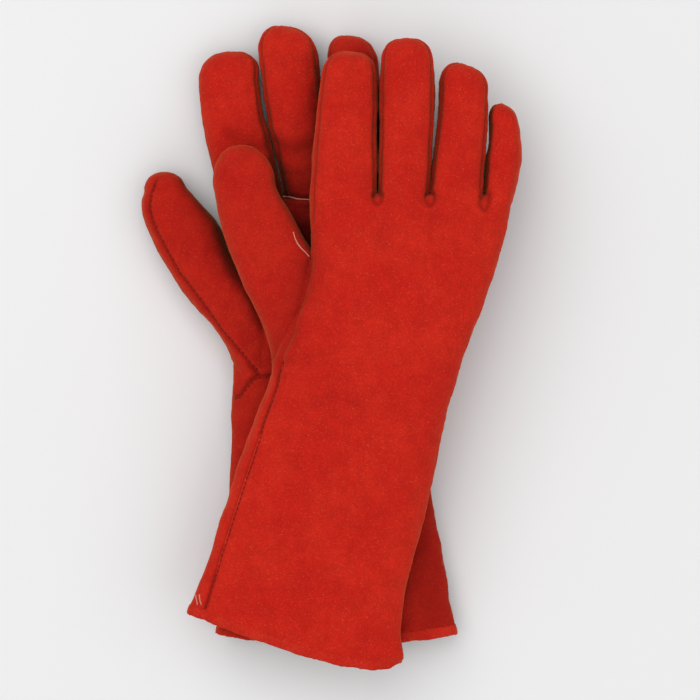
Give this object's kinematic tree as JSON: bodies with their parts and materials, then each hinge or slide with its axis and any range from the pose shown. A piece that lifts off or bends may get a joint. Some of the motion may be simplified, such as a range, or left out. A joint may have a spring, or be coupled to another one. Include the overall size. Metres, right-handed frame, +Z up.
{
  "type": "welding gloves",
  "caption": "Pair of long split-leather welding gauntlets with lined hands and wide cuffs, lying crossed, left palm up under right back up.",
  "frame": {"origin": "on the bench, under the middle of the crossed pair", "axes": "+Z up off the bench, +Y from the cuffs towards the fingertips, +X to the side away from the thumbs"},
  "size_m": [0.2172, 0.3642, 0.072],
  "materials": {
    "split_leather": "matte",
    "trim_leather": "matte",
    "fleece_lining": "matte",
    "canvas_lining": "matte",
    "seam_thread": "matte"
  },
  "bodies": {
    "left_glove": {"left_cuff_front": "split_leather", "left_cuff_hem": "trim_leather", "left_cuff_lining": "canvas_lining", "left_hand_back": "split_leather", "left_hand_lining": "fleece_lining", "left_little_back": "split_leather", "left_little_fourchette_by_ring": "split_leather", "left_little_front": "split_leather", "left_little_lining": "fleece_lining", "left_middle_back": "split_leather", "left_middle_fourchette_by_index": "split_leather", "left_middle_fourchette_by_ring": "split_leather", "left_middle_front": "split_leather", "left_middle_lining": "fleece_lining", "left_outer_side_welt": "trim_leather", "left_palm": "split_leather", "left_ring_back": "split_leather", "left_ring_fourchette_by_little": "split_leather", "left_ring_fourchette_by_middle": "split_leather", "left_ring_front": "split_leather", "left_ring_lining": "fleece_lining", "left_thumb_side_welt": "trim_leather"},
    "left_thumb": {"left_thumb_inner": "split_leather", "left_thumb_outer": "split_leather", "left_thumb_lining": "fleece_lining"},
    "left_index": {"left_index_back": "split_leather", "left_index_fourchette_by_middle": "split_leather", "left_index_front": "split_leather", "left_index_lining": "fleece_lining"},
    "right_glove": {"right_cuff_front": "split_leather", "right_cuff_hem": "trim_leather", "right_cuff_lining": "canvas_lining", "right_hand_back": "split_leather", "right_hand_lining": "fleece_lining", "right_outer_side_welt": "trim_leather", "right_palm": "split_leather", "right_thumb_side_welt": "trim_leather"},
    "right_thumb": {"right_thumb_inner": "split_leather", "right_thumb_outer": "split_leather", "right_thumb_lining": "fleece_lining"},
    "right_index": {"right_index_back": "split_leather", "right_index_fourchette_by_middle": "split_leather", "right_index_front": "split_leather", "right_index_lining": "fleece_lining"},
    "right_middle": {"right_middle_back": "split_leather", "right_middle_fourchette_by_index": "split_leather", "right_middle_fourchette_by_ring": "split_leather", "right_middle_front": "split_leather", "right_middle_lining": "fleece_lining"},
    "right_ring": {"right_ring_back": "split_leather", "right_ring_fourchette_by_little": "split_leather", "right_ring_fourchette_by_middle": "split_leather", "right_ring_front": "split_leather", "right_ring_lining": "fleece_lining"},
    "right_little": {"right_little_back": "split_leather", "right_little_fourchette_by_ring": "split_leather", "right_little_front": "split_leather", "right_little_lining": "fleece_lining"}
  },
  "joints": [
    {"name": "right_glove_lift", "type": "slide", "parent": "left_glove", "child": "right_glove", "axis": [0, 0, 1], "range_m": [0, 0.25]},
    {"name": "right_index_bend", "type": "hinge", "parent": "right_glove", "child": "right_index", "pos_m": [0.0056, 0.08013, 0.0656], "axis": [1, 0, 0], "range_deg": [0, 40], "stiffness_Nm_per_rad": 0.08},
    {"name": "right_middle_bend", "type": "hinge", "parent": "right_glove", "child": "right_middle", "pos_m": [0.0401, 0.08013, 0.0656], "axis": [1, 0, 0], "range_deg": [0, 40], "stiffness_Nm_per_rad": 0.08},
    {"name": "right_ring_bend", "type": "hinge", "parent": "right_glove", "child": "right_ring", "pos_m": [0.0705, 0.08013, 0.0646], "axis": [1, 0, 0], "range_deg": [0, 40], "stiffness_Nm_per_rad": 0.08},
    {"name": "right_little_bend", "type": "hinge", "parent": "right_glove", "child": "right_little", "pos_m": [0.0966, 0.08013, 0.0616], "axis": [1, 0, 0], "range_deg": [0, 40], "stiffness_Nm_per_rad": 0.08},
    {"name": "right_thumb_bend", "type": "hinge", "parent": "right_glove", "child": "right_thumb", "pos_m": [-0.03205, 0.04443, 0.0676], "axis": [0.9106, 0.4133, 0], "range_deg": [0, 35], "stiffness_Nm_per_rad": 0.08},
    {"name": "left_thumb_spread", "type": "hinge", "parent": "left_glove", "child": "left_thumb", "pos_m": [-0.0696, 0.01253, 0.016], "axis": [0, 0, 1], "range_deg": [0, 25], "stiffness_Nm_per_rad": 0.08},
    {"name": "left_index_spread", "type": "hinge", "parent": "left_glove", "child": "left_index", "pos_m": [-0.0626, 0.08023, 0.014], "axis": [0, 0, 1], "range_deg": [0, 8], "stiffness_Nm_per_rad": 0.08}
  ]
}
